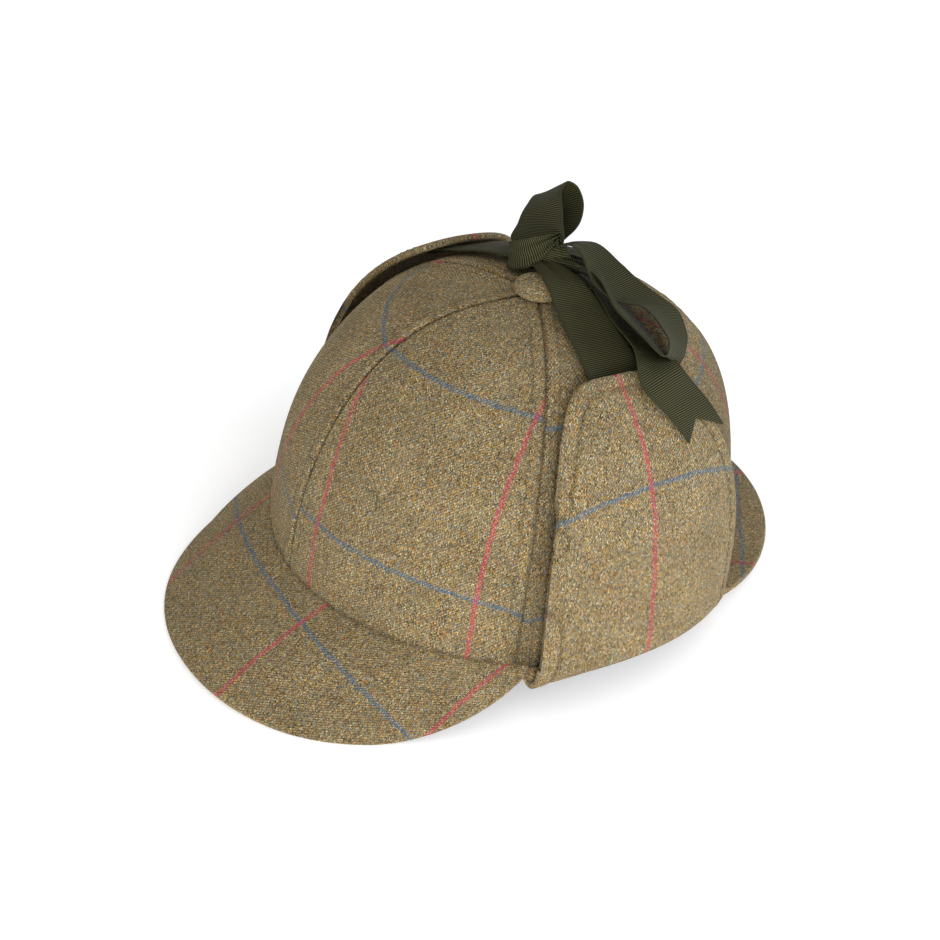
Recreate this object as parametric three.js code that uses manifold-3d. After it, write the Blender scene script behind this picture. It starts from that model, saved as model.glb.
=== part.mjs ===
// Deerstalker hat: a six-panel tweed crown with a covered button, a front and a back peak, and two ear flaps
// folded up and tied over the top with a ribbon bow. Millimetres, +Z up, the front towards -Y.
import * as THREE from 'three';
import { mergeVertices } from 'three/addons/utils/BufferGeometryUtils.js';
import Module from 'manifold-3d';

const wasm = await Module();
wasm.setup();

// Crown, outside sizes at its base
const CROWN_HALF_LENGTH = 100;
const CROWN_HALF_WIDTH = 99.5;
const CROWN_HEIGHT = 118;
const CROWN_WALL = 2.5;
const CROWN_HEM = 2.8;           // how far the panels reach below the line where the peaks are sewn on
const CROWN_LEAN = 4.2;          // how far the top sits behind the middle of the base
const FRONT_PANEL_SPAN = 67.5;   // degrees of turn that one front panel takes
const SEAM_OFFSET = -4;          // degrees by which the crown is sewn off the peaks' middle, to the wearer's right
const PANEL_TIP_RADIUS = 2.5;    // where the panels end, below the button

// How full the crown is at its front, sides and back: higher is squarer, in height and in reach
const FULLNESS = {
  front: { height: 2.0, reach: 3.15 },
  sides: { height: 2.5, reach: 2.72 },
  back: { height: 3.0, reach: 3.1 },
};

// Peaks, measured from the crown's wall
const PEAK_THICKNESS = 3;
const FRONT_PEAK_LENGTH = 60;
const FRONT_PEAK_SLOPE = 34;     // degrees down, at the middle
const FRONT_PEAK_SIDE_SLOPE = 43.5;
const BACK_PEAK_LENGTH = 32;
const BACK_PEAK_SLOPE = -6;
const BACK_PEAK_SIDE_SLOPE = -2;
const FRONT_PEAK_TAPER = 2.2;    // how long a peak keeps its length towards its ends
const BACK_PEAK_TAPER = 1.7;
const PEAK_BEND = 10;            // degrees by which a peak steepens from its seam to its edge
const PEAK_END_LENGTH = 3.5;     // how far a peak's blunt ends stand out
const PEAK_END_CLEARANCE = 1.2;  // degrees of turn between a peak's end and the flap beside it
const REST_FLAT = 0.8;           // how far the peaks' lowest edges are pressed flat where the hat rests

// Ear flaps, folded up against the crown
const FLAP_THICKNESS = 3;
const FLAP_STANDOFF = 5;         // clear space between the crown and a flap
const FLAP_FRONT_TURN = -22.5;   // degrees of turn from the side, towards the back
const FLAP_BACK_TURN = 35.5;
const FLAP_TOP_TURN = 3;
const FLAP_TOP_RISE = 0.68;      // share of the way up the crown's curve
const FLAP_LOW_RISE = 0.09;      // where the flap's front and back edges end below
const FLAP_FOLD_FRONT = 1;       // height at which the fold turns upright, at the flap's front and back
const FLAP_FOLD_BACK = 8;
const FLAP_FOLD_DEPTH = 5;       // how far below the base line a flap's fold starts
const FLAP_DROOP = 5.5;          // how far the fold hangs at the flap's front corner
const FLAP_FOLD_LIFT = 3.5;      // how much higher the fold starts in the flap's middle than at its ends

// Covered button on top
const BUTTON_RADIUS = 10.5;
const BUTTON_HEIGHT = 6.5;

// Ribbon and bow
const RIBBON_WIDTH = 25;
const RIBBON_THICKNESS = 1;
const RIBBON_TUCK = 12;          // how far the ribbon reaches down behind the flap's top edge
const KNOT_LENGTH = 21;
const KNOT_WIDTH = 17;
const KNOT_HEIGHT = 12;
const KNOT_SIDE = -18;           // the knot's middle, across the hat and behind the crown's middle
const KNOT_BACK = 14;
const UPPER_LOOP_LENGTH = 32;
const SIDE_LOOP_LENGTH = 74;
const TAIL_NOTCH = 9;            // depth of the V cut in a tail's end

const GAP = 0.3;                 // clearance that touching pieces keep
const CLOTH = { color: 0x6f6248, roughness: 0.95 };
const RIBBON = { color: 0x2e3022, roughness: 0.75 };

const radians = THREE.MathUtils.degToRad;
const mix = THREE.MathUtils.lerp;

// Turn 0 is the wearer's left (+X), -90 degrees the front and 90 the back
function fullness(turn) {
  const front = Math.max(-Math.sin(turn), 0) ** 2;
  const back = Math.max(Math.sin(turn), 0) ** 2;
  const blend = (key) => FULLNESS.sides[key]
    + (FULLNESS.front[key] - FULLNESS.sides[key]) * front
    + (FULLNESS.back[key] - FULLNESS.sides[key]) * back;
  return { height: blend('height'), reach: blend('reach') };
}

// A point of the crown's outside: rise runs from 0 at the base to 1 at the top
function crownOutside(turn, rise) {
  const { height, reach } = fullness(turn);
  const climb = Math.sin(Math.min(Math.max(rise, 0), 1) * Math.PI / 2);
  const up = climb ** (2 / height);
  const radius = Math.max(1 - climb * climb, 0) ** (1 / reach);
  return new THREE.Vector3(
    CROWN_HALF_WIDTH * radius * Math.cos(turn),
    CROWN_HALF_LENGTH * radius * Math.sin(turn) + CROWN_LEAN * up * up,
    CROWN_HEIGHT * up,
  );
}

function crownNormal(turn, rise) {
  const step = 1e-3;
  const around = crownOutside(turn + step, rise).sub(crownOutside(turn - step, rise));
  const low = Math.max(rise - step, 0);
  const up = crownOutside(turn, rise + step).sub(crownOutside(turn, low));
  return around.cross(up).normalize();
}

// A point at a distance out from the crown's outside
function offCrown(turn, rise, out) {
  return crownOutside(turn, rise).addScaledVector(crownNormal(turn, Math.min(rise, 0.985)), out);
}

function baseNormal(turn) {
  return new THREE.Vector3(Math.cos(turn) / CROWN_HALF_WIDTH, Math.sin(turn) / CROWN_HALF_LENGTH, 0).normalize();
}

function riseAtHeight(turn, z) {
  return 2 / Math.PI * Math.asin((z / CROWN_HEIGHT) ** (fullness(turn).height / 2));
}

// The crown's turn and rise above a place in plan, given as shares of its half width and half length
function crownAbove(side, back) {
  const target = new THREE.Vector2(side * CROWN_HALF_WIDTH, back * CROWN_HALF_LENGTH);
  let low = 0;
  let high = 1;
  let turn = 0;
  for (let round = 0; round < 40; round += 1) {
    const rise = (low + high) / 2;
    for (let step = 0; step < 3; step += 1) {
      const shift = CROWN_LEAN * Math.sin(rise * Math.PI / 2) ** (4 / fullness(turn).height);
      turn = Math.atan2((target.y - shift) / CROWN_HALF_LENGTH, target.x / CROWN_HALF_WIDTH);
    }
    const point = crownOutside(turn, rise);
    const shift = CROWN_LEAN * (point.z / CROWN_HEIGHT) ** 2;
    const outside = Math.hypot(target.x, target.y - shift) > Math.hypot(point.x, point.y - shift);
    low = outside ? low : rise;
    high = outside ? rise : high;
  }
  return { turn, rise: (low + high) / 2 };
}

function overCrown(side, back, lift) {
  const { turn, rise } = crownAbove(side, back);
  return offCrown(turn, rise, lift);
}

// A closed body from a ring of points for each section, capped at both ends
function loft(rings) {
  const count = rings[0].length;
  const positions = rings.flat().flatMap((point) => [point.x, point.y, point.z]);
  const index = [];
  for (let row = 0; row + 1 < rings.length; row += 1) {
    for (let at = 0; at < count; at += 1) {
      const here = row * count + at;
      const next = row * count + (at + 1) % count;
      index.push(here, next, next + count, here, next + count, here + count);
    }
  }
  const half = count / 2;
  for (const [row, flip] of [[0, true], [rings.length - 1, false]]) {
    for (let at = 0; at + 1 < half; at += 1) {
      const corners = [at, at + 1, count - 2 - at, count - 1 - at].map((place) => row * count + place);
      const [a, b, c, d] = flip ? corners.reverse() : corners;
      index.push(a, b, c, a, c, d);
    }
  }
  const geometry = new THREE.BufferGeometry();
  geometry.setAttribute('position', new THREE.Float32BufferAttribute(positions, 3));
  geometry.setIndex(index);
  return outward(geometry);
}

function signedVolume(geometry) {
  const position = geometry.getAttribute('position');
  const corner = (at) => new THREE.Vector3().fromBufferAttribute(position, geometry.index.getX(at));
  let volume = 0;
  for (let at = 0; at < geometry.index.count; at += 3) {
    volume += corner(at).dot(corner(at + 1).cross(corner(at + 2))) / 6;
  }
  return volume;
}

function outward(geometry) {
  if (signedVolume(geometry) < 0) geometry.index.array.reverse();
  return geometry;
}

function toSolid(geometry) {
  const bare = geometry.clone();
  bare.deleteAttribute('normal');
  bare.deleteAttribute('uv');
  const merged = mergeVertices(bare);
  return new wasm.Manifold(new wasm.Mesh({
    numProp: 3,
    vertProperties: new Float32Array(merged.getAttribute('position').array),
    triVerts: new Uint32Array(merged.index.array),
  }));
}

function toGeometry(solid) {
  const mesh = solid.getMesh();
  const geometry = new THREE.BufferGeometry();
  geometry.setAttribute('position', new THREE.Float32BufferAttribute(mesh.vertProperties, 3));
  geometry.setIndex(Array.from(mesh.triVerts));
  return geometry;
}

// One gore of the crown between two seams
function panelGeometry(fromTurn, toTurn) {
  const columns = 9;
  const rows = 11;
  const topRise = 1 - 2 / Math.PI * Math.asin((PANEL_TIP_RADIUS / CROWN_HALF_LENGTH) ** 1.3);
  const edge = (turn, rise, side) => {
    const radius = Math.hypot(crownOutside(turn, rise).x, crownOutside(turn, rise).y - CROWN_LEAN);
    return turn + side * GAP / 2 / Math.max(radius, PANEL_TIP_RADIUS);
  };
  const rings = [];
  for (let row = -1; row <= rows; row += 1) {
    const rise = Math.max(row, 0) / rows * topRise;
    const from = edge(fromTurn, rise, 1);
    const to = edge(toTurn, rise, -1);
    const turns = Array.from({ length: columns + 1 }, (_, at) => mix(from, to, at / columns));
    const point = (turn, out) => {
      const place = offCrown(turn, rise, out);
      if (row < 0) place.z = -CROWN_HEM;
      if (row === 0) place.z = 0;
      return place;
    };
    rings.push([
      ...turns.map((turn) => point(turn, 0)),
      ...turns.reverse().map((turn) => point(turn, -CROWN_WALL)),
    ]);
  }
  return loft(rings);
}

// A crescent peak that leaves the crown's base line and slopes down
function peakGeometry({ middle, halfSpan, length, taper, slope, sideSlope }) {
  const columns = 30;
  const rows = 5;
  const rings = [];
  for (let column = 0; column <= columns; column += 1) {
    const share = Math.sin((column / columns - 0.5) * Math.PI);
    const turn = radians(middle + halfSpan * share);
    const reach = PEAK_END_LENGTH + (length - PEAK_END_LENGTH) * (1 - Math.abs(share) ** taper);
    const start = crownOutside(turn, 0);
    start.z = 0;
    start.addScaledVector(baseNormal(turn), GAP);
    const steep = mix(slope, sideSlope, Math.min(Math.abs(share) * 1.6, 1) ** 2);
    const top = [start.clone()];
    const bottom = [start.clone().setZ(-PEAK_THICKNESS)];
    const place = start.clone();
    for (let row = 1; row <= rows; row += 1) {
      const angle = radians(steep + PEAK_BEND * ((row - 0.5) / rows - 0.5));
      place.addScaledVector(baseNormal(turn), reach / rows * Math.cos(angle));
      place.z -= reach / rows * Math.sin(angle);
      top.push(place.clone());
      const lean = PEAK_THICKNESS * Math.sin(angle) * row / rows;
      const under = place.clone().addScaledVector(baseNormal(turn), -lean);
      bottom.push(under.setZ(place.z - Math.sqrt(PEAK_THICKNESS ** 2 - lean ** 2)));
    }
    rings.push([...top, ...bottom.reverse()]);
  }
  return loft(rings);
}

// How far up the crown's curve a flap reaches, at a turn: a tight front corner and a fuller back one
function flapTop(turn) {
  const front = turn < radians(FLAP_TOP_TURN);
  const end = radians(front ? FLAP_FRONT_TURN : FLAP_BACK_TURN);
  const share = Math.min((turn - radians(FLAP_TOP_TURN)) / (end - radians(FLAP_TOP_TURN)), 1);
  const corner = front ? 5.5 : 2.5;
  return mix(FLAP_LOW_RISE, FLAP_TOP_RISE, (1 - share ** corner) ** (1 / corner));
}

// A flap leaves the crown's base in a rounded fold and runs up at a constant stand-off
function flapGeometry() {
  const columns = 24;
  const rows = 9;
  const reach = FLAP_STANDOFF + FLAP_THICKNESS / 2 - GAP;
  const rings = [];
  for (let column = 0; column <= columns; column += 1) {
    const share = 0.5 - 0.5 * Math.cos(column / columns * Math.PI);
    const sink = FLAP_FOLD_DEPTH - FLAP_THICKNESS / 2 - FLAP_FOLD_LIFT * Math.sin(share * Math.PI);
    const turn = mix(radians(FLAP_FRONT_TURN), radians(FLAP_BACK_TURN), share);
    const upright = mix(FLAP_FOLD_FRONT, FLAP_FOLD_BACK, Math.sqrt(share));
    const droop = FLAP_DROOP * (1 - share) ** 6;
    const wall = crownOutside(turn, 0).setZ(0);
    const outer = [];
    const inner = [];
    for (const bend of [0, 30, 60, 90].map(radians)) {
      const at = (grow) => {
        const out = GAP + (reach + grow) * Math.sin(bend);
        const up = upright - (upright + sink + grow) * Math.cos(bend) - droop * Math.sin(2 * bend);
        return wall.clone().addScaledVector(baseNormal(turn), out).setZ(up);
      };
      outer.push(at(FLAP_THICKNESS / 2));
      inner.push(at(-FLAP_THICKNESS / 2));
    }
    const lowRise = riseAtHeight(turn, upright);
    for (let row = 1; row <= rows; row += 1) {
      const rise = mix(lowRise, flapTop(turn), (row / rows) ** 1.2);
      outer.push(offCrown(turn, rise, FLAP_STANDOFF + FLAP_THICKNESS));
      inner.push(offCrown(turn, rise, FLAP_STANDOFF));
    }
    rings.push([...outer, ...inner.reverse()]);
  }
  return loft(rings);
}

function buttonGeometry() {
  const profile = [new THREE.Vector2(0, 0), new THREE.Vector2(BUTTON_RADIUS * 0.9, 0)];
  const steps = 5;
  for (let step = 0; step <= steps; step += 1) {
    const angle = step / steps * Math.PI / 2;
    const radius = step === steps ? 0 : BUTTON_RADIUS * Math.cos(angle) ** 0.7;
    const height = BUTTON_HEIGHT * (0.25 + 0.75 * Math.sin(angle));
    profile.push(new THREE.Vector2(radius, height));
  }
  const geometry = new THREE.LatheGeometry(profile, 20);
  geometry.rotateX(Math.PI / 2);
  geometry.translate(0, CROWN_LEAN, CROWN_HEIGHT + GAP);
  return geometry;
}

// The knot sits on the crown just behind and beside the button
function knotCentre(lift = 0) {
  const foot = overCrown(KNOT_SIDE / CROWN_HALF_WIDTH, KNOT_BACK / CROWN_HALF_LENGTH, 0);
  return foot.add(new THREE.Vector3(0, 0, KNOT_HEIGHT / 2 + GAP + lift));
}

function knotGeometry(grow = 0) {
  const geometry = new THREE.SphereGeometry(0.5, 18, 12);
  geometry.rotateX(Math.PI / 2);
  geometry.scale(KNOT_LENGTH + 2 * grow, KNOT_WIDTH + 2 * grow, KNOT_HEIGHT + 2 * grow);
  geometry.rotateZ(radians(20));
  const centre = knotCentre();
  return geometry.translate(centre.x, centre.y, centre.z);
}

function acrossVector(heading, tilt) {
  const flat = Math.cos(radians(tilt));
  return new THREE.Vector3(
    flat * Math.cos(radians(heading)),
    flat * Math.sin(radians(heading)),
    Math.sin(radians(tilt)),
  );
}

// A ribbon through stations, each with a place, a direction across the ribbon and a share of its width
function ribbonGeometry(stations, notch = 0) {
  const places = new THREE.CatmullRomCurve3(stations.map(({ place }) => place), false, 'centripetal');
  const steps = Math.ceil(places.getLength() / 4);
  const sample = (share) => {
    const along = share * (stations.length - 1);
    const at = Math.min(Math.floor(along), stations.length - 2);
    const part = along - at;
    const [from, to] = [stations[at], stations[at + 1]];
    return {
      place: places.getPoint(share),
      across: from.across.clone().lerp(to.across, part).normalize(),
      width: mix(from.width, to.width, part) * RIBBON_WIDTH,
    };
  };
  const rings = [];
  for (let step = 0; step <= steps; step += 1) {
    const share = step / steps;
    const { place, across, width } = sample(share);
    const along = places.getTangent(share);
    const normal = along.clone().cross(across).normalize();
    const cut = step === steps ? notch : 0;
    const corner = (side, face) => place.clone()
      .addScaledVector(across, side * width / 2)
      .addScaledVector(normal, face * RIBBON_THICKNESS / 2)
      .addScaledVector(along, side === 0 ? -cut : 0);
    rings.push([
      ...[-1, 0, 1].map((side) => corner(side, 1)),
      ...[1, 0, -1].map((side) => corner(side, -1)),
    ]);
  }
  return loft(rings);
}

// Stations that follow the crown: shares of its half width and half length, a lift in shares of the flap's
// outer stand-off, the heading and tilt of the direction across (null where it lies flat on the hat), and the
// width's share
function crownStations(rows) {
  const unit = FLAP_STANDOFF + FLAP_THICKNESS + GAP + RIBBON_THICKNESS / 2;
  return rows.map(([side, back, lift, heading, tilt, width]) => {
    const { turn, rise } = crownAbove(side, back);
    const across = acrossVector(heading, tilt ?? 0);
    if (tilt === null) across.projectOnPlane(crownNormal(turn, rise)).normalize();
    return { place: offCrown(turn, rise, lift * unit), across, width };
  });
}

// Stations round the knot: shares of a loop's length to the left, back and up from the knot's middle
function loopStations(rows, length) {
  return rows.map(([side, back, up, heading, tilt, width]) => ({
    place: knotCentre().add(new THREE.Vector3(side, back, up).multiplyScalar(length)),
    across: acrossVector(heading, tilt),
    width,
  }));
}

function trimmedByKnot(geometry) {
  return toGeometry(toSolid(geometry).subtract(toSolid(knotGeometry(GAP))));
}

// From behind a flap's top edge, over the crown, into the knot; side is 1 for the wearer's left
function tieGeometry(side, rows) {
  const turn = radians(FLAP_TOP_TURN);
  const sag = RIBBON_WIDTH ** 2 / 8 / (CROWN_HALF_WIDTH * 0.7);
  const hug = FLAP_STANDOFF - GAP - RIBBON_THICKNESS / 2 - sag;
  const step = 0.02;
  const arc = offCrown(turn, FLAP_TOP_RISE, 0).distanceTo(offCrown(turn, FLAP_TOP_RISE - step, 0)) / step;
  const tuck = RIBBON_TUCK / arc;
  const flip = new THREE.Vector3(side, 1, 1);
  const behind = [FLAP_TOP_RISE - tuck, FLAP_TOP_RISE - tuck / 2, FLAP_TOP_RISE].map((rise) => ({
    place: offCrown(turn, rise, hug).multiply(flip),
    across: offCrown(turn + 0.1, rise, hug).sub(offCrown(turn - 0.1, rise, hug)).normalize().multiply(flip),
    width: 1,
  }));
  const edge = behind[2].place;
  const over = rows.map(([way, lift, tilt, width]) => {
    const plan = edge.clone().lerp(knotCentre(), way);
    const foot = overCrown(plan.x / CROWN_HALF_WIDTH, plan.y / CROWN_HALF_LENGTH, 0);
    foot.z += lift * (BUTTON_HEIGHT + 2 * GAP + RIBBON_THICKNESS / 2);
    return { place: foot, across: acrossVector(90, tilt), width };
  });
  return trimmedByKnot(ribbonGeometry([...behind, ...over]));
}

// Columns: way from the flap's edge to the knot, lift in shares of what clears the button, tilt, width
const LEFT_TIE = [
  [0.12, 0.42, 0, 1],
  [0.3, 0.35, 0, 0.95],
  [0.5, 0.6, 0, 0.85],
  [0.65, 1.02, 0, 0.7],
  [0.82, 1.08, 0, 0.55],
  [1.0, 0.95, 0, 0.4],
];
const RIGHT_TIE = [
  [0.2, 0.42, 0, 0.95],
  [0.55, 0.55, 0, 0.7],
  [1.0, 0.85, 0, 0.4],
];

// Columns: to the left, back, up, heading across, tilt across, width
const UPPER_LOOP = [
  [0.02, -0.12, 0.04, 235, 0, 0.3],
  [-0.14, 0.01, 0.20, 245, -12, 1],
  [-0.41, 0.19, 0.32, 225, -25, 1],
  [-0.67, 0.43, 0.50, 195, -38, 1],
  [-0.75, 0.66, 0.55, 188, -39, 1],
  [-0.70, 0.79, 0.47, 188, -39, 1],
  [-0.56, 0.80, 0.30, 188, -36, 1],
  [-0.43, 0.64, 0.17, 195, -25, 0.9],
  [-0.33, 0.42, 0.10, 200, -10, 0.65],
  [-0.10, 0.10, 0.05, 210, 0, 0.35],
];
const SIDE_LOOP = [
  [0.04, 0.05, 0.055, 128, -20, 0.35],
  [0.10, 0.165, 0.112, 128, -20, 0.6],
  [0.162, 0.236, 0.108, 122, -15, 0.85],
  [0.404, 0.231, 0.057, 114, -4, 1],
  [0.549, 0.285, 0.003, 108, -6, 1],
  [0.70, 0.388, -0.027, 106, -20, 1],
  [0.878, 0.364, -0.055, 106, -30, 1],
  [0.976, 0.331, -0.084, 119, -32, 1],
  [1.027, 0.258, -0.1, 125, -34, 1],
  [0.986, 0.203, -0.068, 134, -27, 1],
  [0.919, 0.162, -0.035, 136, -19, 1],
  [0.635, 0.139, 0.01, 141, -15, 0.95],
  [0.311, 0.185, 0.06, 142, -15, 0.7],
  [0.12, 0.11, 0.045, 141, -12, 0.45],
  [0.05, 0.05, 0.03, 140, -10, 0.35],
];

// Columns: side, back, lift, heading across, tilt across, width
const FRONT_TAIL = [
  [-0.13, 0.15, 0.5, 110, -10, 0.3],
  [-0.01, 0.28, 0.5, 125, -18, 0.6],
  [0.30, 0.262, 0.42, 125, -13, 0.9],
  [0.475, 0.25, 0.68, 118, -23, 1],
  [0.615, 0.22, 1.16, 111, null, 1],
  [0.69, 0.295, 1.06, 108, null, 1],
  [0.748, 0.37, 1.03, 106, null, 1],
];
const BACK_TAIL = [
  [-0.20, 0.21, 0.4, 60, -4, 0.3],
  [-0.28, 0.35, 0.4, 45, -6, 0.7],
  [-0.37, 0.47, 0.35, 36, null, 0.9],
  [-0.46, 0.60, 0.28, 34, null, 1],
  [-0.53, 0.70, 0.25, 34, null, 1],
  [-0.58, 0.77, 0.25, 34, null, 1],
];

function mirrored(geometry) {
  geometry.scale(-1, 1, 1);
  return outward(geometry);
}

// The pitch at which the front and back peaks touch the same level ground
function restPitch(front, back) {
  const lowest = (geometry, pitch) => {
    const turned = geometry.clone().rotateX(pitch);
    turned.computeBoundingBox();
    return turned.boundingBox.min.z;
  };
  let low = radians(-25);
  let high = radians(25);
  for (let round = 0; round < 40; round += 1) {
    const middle = (low + high) / 2;
    const frontIsHigher = lowest(front, middle) > lowest(back, middle);
    low = frontIsHigher ? middle : low;
    high = frontIsHigher ? high : middle;
  }
  const pitch = (low + high) / 2;
  return { pitch, ground: lowest(front, pitch) };
}

// Flattens a peak's lowest edge on the ground that the hat rests on
function flattened(geometry, { pitch, ground }) {
  const slab = new THREE.BoxGeometry(6 * CROWN_HALF_WIDTH, 6 * CROWN_HALF_LENGTH, CROWN_HEIGHT);
  slab.translate(0, 0, ground + REST_FLAT - CROWN_HEIGHT / 2);
  slab.rotateX(-pitch);
  return toGeometry(toSolid(geometry).subtract(toSolid(slab)));
}

function piece(name, geometry, look) {
  const mesh = new THREE.Mesh(geometry, new THREE.MeshStandardMaterial({ ...look, metalness: 0 }));
  mesh.name = name;
  return mesh;
}

function crownPieces() {
  const front = -90 + SEAM_OFFSET;
  const sideSpan = (180 - FRONT_PANEL_SPAN) / 2;
  const seams = [0, FRONT_PANEL_SPAN, FRONT_PANEL_SPAN + sideSpan, 180];
  const names = ['front', 'side', 'back'];
  const gore = (from, to) => panelGeometry(radians(from), radians(to));
  return names.flatMap((name, at) => [
    piece(`crown_panel_${name}_left`, gore(front + seams[at], front + seams[at + 1]), CLOTH),
    piece(`crown_panel_${name}_right`, gore(front - seams[at + 1], front - seams[at]), CLOTH),
  ]);
}

function bowPieces() {
  const frontTail = trimmedByKnot(ribbonGeometry(crownStations(FRONT_TAIL), TAIL_NOTCH));
  const backTail = trimmedByKnot(ribbonGeometry(crownStations(BACK_TAIL), TAIL_NOTCH));
  return [
    piece('ribbon_left', tieGeometry(1, LEFT_TIE), RIBBON),
    piece('ribbon_right', tieGeometry(-1, RIGHT_TIE), RIBBON),
    piece('bow_knot', knotGeometry(), RIBBON),
    piece('bow_loop_upper', trimmedByKnot(ribbonGeometry(loopStations(UPPER_LOOP, UPPER_LOOP_LENGTH))), RIBBON),
    piece('bow_loop_side', trimmedByKnot(ribbonGeometry(loopStations(SIDE_LOOP, SIDE_LOOP_LENGTH))), RIBBON),
    piece('ribbon_tail_front', frontTail, RIBBON),
    piece('ribbon_tail_back', backTail, RIBBON),
  ];
}

const frontPeak = peakGeometry({
  middle: -90,
  halfSpan: 90 + FLAP_FRONT_TURN - PEAK_END_CLEARANCE,
  length: FRONT_PEAK_LENGTH,
  taper: FRONT_PEAK_TAPER,
  slope: FRONT_PEAK_SLOPE,
  sideSlope: FRONT_PEAK_SIDE_SLOPE,
});
const backPeak = peakGeometry({
  middle: 90,
  halfSpan: 90 - FLAP_BACK_TURN - PEAK_END_CLEARANCE,
  length: BACK_PEAK_LENGTH,
  taper: BACK_PEAK_TAPER,
  slope: BACK_PEAK_SLOPE,
  sideSlope: BACK_PEAK_SIDE_SLOPE,
});
const rest = restPitch(frontPeak, backPeak);

const pitched = new THREE.Group();
pitched.rotation.x = rest.pitch;
pitched.add(
  ...crownPieces(),
  piece('top_button', buttonGeometry(), CLOTH),
  piece('front_peak', flattened(frontPeak, rest), CLOTH),
  piece('back_peak', flattened(backPeak, rest), CLOTH),
  piece('left_ear_flap', flapGeometry(), CLOTH),
  piece('right_ear_flap', mirrored(flapGeometry()), CLOTH),
  ...bowPieces(),
);

// The origin lies on the ground below the middle of the hat's box
const hat = new THREE.Group();
hat.add(pitched);
hat.updateMatrixWorld(true);
const box = new THREE.Box3().setFromObject(hat, true);
pitched.position.set(-(box.min.x + box.max.x) / 2, -(box.min.y + box.max.y) / 2, -box.min.z);

export default hat;
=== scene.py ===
# Deerstalker hat, dressed: tweed crown, peaks, ear flaps and button, and a grosgrain ribbon bow.
# Shapes are worked out in millimetres in the hat's own frame, whose base plane is level, and then set down
# in the model's frame, where the hat rests on its two peaks.
import math

import bmesh
import bpy
import numpy as np
from mathutils import Matrix


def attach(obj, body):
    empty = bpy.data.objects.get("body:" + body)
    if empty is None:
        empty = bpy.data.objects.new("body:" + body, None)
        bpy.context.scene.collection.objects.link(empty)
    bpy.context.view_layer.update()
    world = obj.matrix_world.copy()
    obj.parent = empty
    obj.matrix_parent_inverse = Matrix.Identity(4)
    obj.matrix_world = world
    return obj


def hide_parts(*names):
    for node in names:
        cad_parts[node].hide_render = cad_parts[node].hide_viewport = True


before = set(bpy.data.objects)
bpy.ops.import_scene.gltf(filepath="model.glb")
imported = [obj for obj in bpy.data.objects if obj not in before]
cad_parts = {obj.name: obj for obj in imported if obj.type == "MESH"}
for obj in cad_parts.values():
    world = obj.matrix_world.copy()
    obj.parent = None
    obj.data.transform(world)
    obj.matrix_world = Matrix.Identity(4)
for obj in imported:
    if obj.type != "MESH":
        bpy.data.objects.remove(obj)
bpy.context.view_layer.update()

# How the hat stands: its pitch and the place of its base's middle
HAT_PITCH = math.radians(-7.7145)
HAT_PLACE = np.array([0.0, 10.892, 16.605])

# The camera, in the hat's own frame
CAMERA_TURN = math.radians(54.53)
CAMERA_HEIGHT = math.radians(32.87)
CAMERA_ROLL = math.radians(7.915)
CAMERA_DISTANCE = 1088.6
CAMERA_TARGET = np.array([-3.14, -15.24, 31.24])
CAMERA_FOCAL_PIXELS = 2498.5
IMAGE_PIXELS = 940
SENSOR = 36.0

# The crown, as the model has it
HALF_LENGTH = 100.0
HALF_WIDTH = 99.5
CROWN_HEIGHT = 118.0
CROWN_WALL = 2.2
CROWN_HEM = 2.8
CROWN_LEAN = 4.2
FRONT_SPAN = 67.5
SEAM_OFFSET = -4.0
TIP_RADIUS = 2.5
NEAR_TOP = 0.985

# Powers of the crown's rounded outline: the first for its height, the second for its reach
FULLNESS = {"front": (2.0, 3.15), "sides": (2.5, 2.72), "back": (3.0, 3.1)}

# Seams: the valley between two panels, the allowances that stand up beside it and the stitched groove
SEAM_DEPTH = 1.0
SEAM_REACH = 1.0
ALLOWANCE = 5.6
ALLOWANCE_LIFT = 0.35
GROOVE_DEPTH = 0.22
GROOVE_WIDTH = 0.6
BASE_GROOVE = 0.5
BASE_WIDTH = 1.3

# Puckers beside the seams and along the base, and slow dents all over: depth and length
SEAM_PUCKER = (0.10, 6.5)
BASE_PUCKER = (0.22, 9.0)
PANEL_DENT = (0.75, 62.0)
PANEL_GRID = (121, 131)

# Painted shade in the cloth's creases: how dark it is, from 0 to 1, and how wide each dark line is
SEAM_DARK = 0.6
STITCH_DARK = (0.38, 0.55)
BASE_DARK = (0.6, 1.1)

# The crown has a painted shadow in the gap beside an ear flap, from this many degrees off the front. Columns:
# how dark, degrees until it starts and over which it grows, height where it ends and over which it fades
SHADED_FROM = 58.0
SHADED = [
    (1.0, 0.0, 7.0, 26.0, 26.0),
    (0.6, 4.0, 4.0, 112.0, 30.0),
]

# Topstitching threads, with the lift and the share of the radius at the ends and the middle
STITCH_LENGTH = 2.3
STITCH_PITCH = 3.2
STITCH_RADIUS = 0.17
THREAD_SIDES = 6
THREAD_RINGS = [(-0.15, 0.5), (0.12, 1.0), (-0.15, 0.5)]

# A piece's rounded rim stands out by a share of half the thickness, away from points that deep inside
RIM_SWELL = 0.75
RIM_DEPTH = 8

# Peaks. Columns: the turn of the middle and half the span in degrees, the length, how it tapers to the ends,
# and the slope below level in the middle and at the sides
FRONT_PEAK = (-90, 66.3, 60, 2.2, 34, 43.5)
BACK_PEAK = (90, 53.3, 32, 1.7, -6, -2)
PEAK_THICK = 2.8
PEAK_BEND = 10.0
PEAK_END_LENGTH = 3.5
PEAK_TUCK = 0.8
PEAK_GRID = (201, 61)
PEAK_DENT = (0.3, 55.0)
PEAK_PUCKER = (0.14, 8.0)
PEAK_GROOVE = 0.6

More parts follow.
